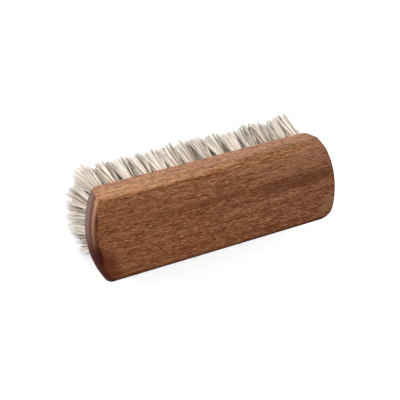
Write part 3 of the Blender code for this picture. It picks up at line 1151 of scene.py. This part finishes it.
    def paint(self, obj: bpy.types.Object, shades: np.ndarray) -> None:
        """Give every hair its column of the hair map, with V from 0 at the root to 1 at the tip.

        Args:
            obj: The row's piece.
            shades: A shade from 0 to 1 for each hair.
        """
        column = np.floor(shades * HAIR_COLUMNS)[:, None, None]
        margin = self.column_margin
        quad = np.arange((self.stations - 1) * HAIR_SIDES)
        side, station = quad[:, None] % HAIR_SIDES, quad[:, None] // HAIR_SIDES
        u = margin + (1 - 2 * margin) * (side / HAIR_SIDES + np.array([0, 1, 1, 0]) / HAIR_SIDES)
        v = station + np.array([0, 0, 1, 1])
        quad_map = np.stack([u, v / (self.stations - 1)], -1)
        quads = np.broadcast_to(quad_map, (len(shades), *quad_map.shape)).copy()
        quads[..., 0] = (quads[..., 0] + column) / HAIR_COLUMNS
        ends = np.zeros((len(shades), 2, 3, 2))
        ends[..., 0] = (column + np.array([margin, 0.5, 1 - margin])) / HAIR_COLUMNS
        ends[..., 1] = np.array([[0.0, self.end_v, 0.0], [1.0, 1 - self.end_v, 1.0]])
        uv = np.concatenate([quads.reshape(-1, 2), ends.reshape(-1, 2)])
        layer = obj.data.uv_layers.new(name=HAIR_MAP)
        layer.data.foreach_set("uv", uv.astype(np.float32).ravel())

    def build(self, block: WoodBlock) -> list[bpy.types.Object]:
        """Build and dress the hair of every cross row.

        Args:
            block: The block that holds it.

        Returns:
            The finished pieces, left to right.
        """
        rows = self.centres(block)
        reach = max(float(y.max()) for _, y in rows)
        material = self.finish.material()
        pieces = []
        for number, (x, places) in enumerate(rows, start=1):
            rng = np.random.default_rng([self.seed, number])
            tufts = []
            for y in places:
                rim = [abs(y) == reach, abs(x) >= self.outermost(block, y)]
                tufts.append(self.tuft(rng, np.array([x, y]), self.slants(block, x, y, reach),
                                       np.where(rim, self.rim_stretch, 1.0), block.underside))
            lines, shades = (np.concatenate(items) for items in zip(*tufts))
            obj = mesh_object(f"tuft_row_{number:02d}_hair", *self.tubes(rng, lines, shades))
            self.paint(obj, shades)
            obj.data.materials.append(material)
            pieces.append(put_on_body(obj, [f"tuft_row_{number:02d}"]))
        return pieces


@dataclass(frozen=True)
class SoftLamp:
    """A rectangular soft lamp that is aimed at the brush."""

    name: str
    place: Triple
    size: Span
    watts: float

    def build(self) -> bpy.types.Object:
        """Make the lamp.

        Returns:
            The lamp.
        """
        lamp = bpy.data.lights.new(self.name, "AREA")
        lamp.shape = "RECTANGLE"
        lamp.size, lamp.size_y = self.size
        lamp.energy = self.watts
        return aimed(lamp, self.place)


@dataclass
class Studio:
    """Floor, soft lamps and surround."""

    floor_size: float = 6.0
    zenith: float = 0.30            # brightness of the surround straight above
    horizon: float = 0.85           # and at the horizon
    rise_span: Span = (0.15, 0.95)  # heights between which it changes
    near_side: float = 0.75         # share of it that is left towards -Y
    side_span: Span = (-0.9, 0.5)
    bright_side: Triple = (0.72, 0.36, 0.59)
    bright: float = 1.3             # what a soft bright patch adds in that direction
    bright_span: Span = (0.55, 1.0)
    lamps: tuple[SoftLamp, ...] = (
        SoftLamp("long_side_lamp", (0.02, 0.62, 0.33), (0.75, 0.32), 3.2),
        SoftLamp("end_lamp", (-0.58, 0.42, 0.16), (0.40, 0.26), 3.45))
    finish: PaleFloor = field(default_factory=PaleFloor)

    def floor(self) -> bpy.types.Object:
        """A square of floor in the plane Z = 0, its corners at plus and minus half of its size.

        Returns:
            The floor.
        """
        side = np.array([-1.0, 1.0]) * self.floor_size / 2
        x, y = np.meshgrid(side, side, indexing="ij")
        points = np.stack([x.ravel(), y.ravel(), np.zeros(4)], -1)
        obj = mesh_object("floor", points, np.array([[0, 2, 3, 1]]), np.zeros((0, 3), int))
        obj.data.materials.append(self.finish.material())
        return obj

    def surround(self) -> bpy.types.World:
        """The world: white behind the brush, and a soft uneven light.

        The light falls off towards the zenith and towards -Y, and has a soft patch at one side.

        Returns:
            The world.
        """
        world = bpy.data.worlds.new("surround")
        bpy.context.scene.world = world
        world.use_nodes = True
        nodes = NodeTree(world.node_tree)
        direction = nodes.node("ShaderNodeTexCoord").outputs["Generated"]
        _, across, up = nodes.parts(direction)
        rise = nodes.ranged(nodes.maths("ABSOLUTE", up), *self.rise_span, self.horizon, self.zenith)
        side = nodes.ranged(across, *self.side_span, self.near_side, 1.0)
        towards = nodes.node("ShaderNodeVectorMath", {0: direction, 1: self.bright_side},
                             operation="DOT_PRODUCT").outputs["Value"]
        patch = nodes.ranged(towards, *self.bright_span, 0.0, self.bright)
        strength = nodes.maths("ADD", nodes.maths("MULTIPLY", rise, side), patch)
        light = nodes.node("ShaderNodeBackground", {"Color": WHITE, "Strength": strength})
        behind = nodes.node("ShaderNodeBackground", {"Color": WHITE, "Strength": 1.0})
        rays = nodes.node("ShaderNodeLightPath").outputs
        seen = nodes.maths("MAXIMUM", rays["Is Camera Ray"], rays["Is Transmission Ray"])
        mix = nodes.node("ShaderNodeMixShader", {0: seen, 1: light.outputs[0], 2: behind.outputs[0]})
        nodes.node("ShaderNodeOutputWorld", {"Surface": mix.outputs[0]})
        return world

    def build(self) -> bpy.types.Object:
        """Set up the floor, the surround and the lamps.

        Returns:
            The floor.
        """
        floor = self.floor()
        self.surround()
        for lamp in self.lamps:
            lamp.build()
        return floor


@dataclass
class ViewCamera:
    """The camera: where it stands, where it looks and how it is turned about its line of sight."""

    place: Triple = (-0.230715, 0.177789, 0.541652)
    aim: Triple = (-0.012752, 0.009176, 0.0375)
    roll: float = math.radians(115.9364)
    lens: float = 89.545
    sensor: float = 36.0

    def build(self) -> bpy.types.Object:
        """Make the scene's camera.

        Returns:
            The camera.
        """
        data = bpy.data.cameras.new("view")
        data.sensor_fit = "HORIZONTAL"
        data.sensor_width = self.sensor
        data.lens = self.lens
        bpy.context.scene.camera = aimed(data, self.place, self.aim, self.roll)
        return bpy.context.scene.camera


def report(piece: bpy.types.Object) -> None:
    """Report a finished piece with the number of its faces."""
    LOG.info("%s: %d faces", piece.name, len(piece.data.polygons))


def main() -> None:
    """Dress the brush, then set up the camera, the lamps and the floor."""
    logging.basicConfig(level=logging.INFO, format="%(name)s: %(message)s")
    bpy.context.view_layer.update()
    bpy.context.scene.view_settings.view_transform = "Standard"
    ViewCamera().build()
    block = WoodBlock()
    tufts = TuftRows()
    centres = np.concatenate([np.column_stack([np.full(len(y), x), y]) for x, y in tufts.centres(block)])
    report(block.build(centres))
    for piece in tufts.build(block):
        report(piece)
    report(Studio().build())


if __name__ == "__main__":
    main()
